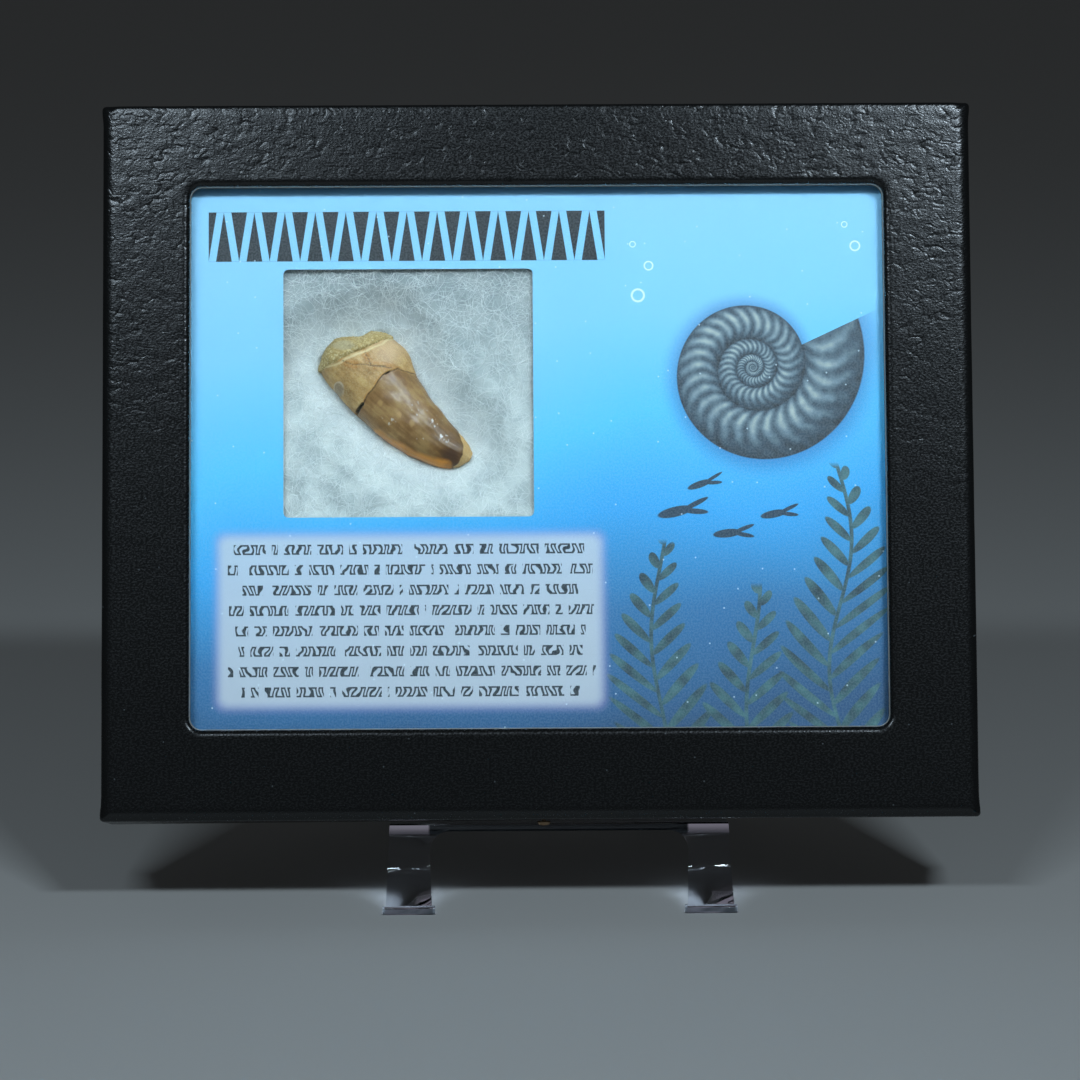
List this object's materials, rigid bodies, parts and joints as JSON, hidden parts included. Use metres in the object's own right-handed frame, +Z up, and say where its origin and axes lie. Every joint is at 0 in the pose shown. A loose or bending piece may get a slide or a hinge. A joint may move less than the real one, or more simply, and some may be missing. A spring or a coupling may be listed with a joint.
{
  "type": "fossil mosasaur tooth in a specimen case",
  "caption": "Curved fossil reptile tooth on white fibre fill in a glass-topped black case with a blue card, leaning on a clear easel.",
  "frame": {"origin": "middle of the model's footprint, on the surface it stands on", "axes": "+X to the right of someone facing the glass, +Y to the back, +Z up"},
  "size_m": [0.1588, 0.0766, 0.144],
  "materials": {
    "leatherette": "black leather-grain wrap on paperboard, low sheen",
    "tray_wrap": "plain black paper wrap on paperboard",
    "window_glass": "polished clear",
    "card_print": "satin print, blue from pale top to deep bottom",
    "fibre": "loose white polyester fibres",
    "tooth_enamel": "glossy brown fossil enamel over a tan base",
    "sediment": "rough olive-tan sandy rock",
    "pin_metal": "dull plated pin",
    "clear_plastic": "polished clear sheet"
  },
  "bodies": {
    "root": {"case_lid": "leatherette", "glass_pane": "window_glass", "printed_card": "card_print", "fibre_fill": "fibre", "mosasaur_tooth": "tooth_enamel", "sediment_cap": "sediment", "case_tray": "tray_wrap", "closing_pin": "pin_metal", "display_easel": "clear_plastic"}
  },
  "joints": []
}
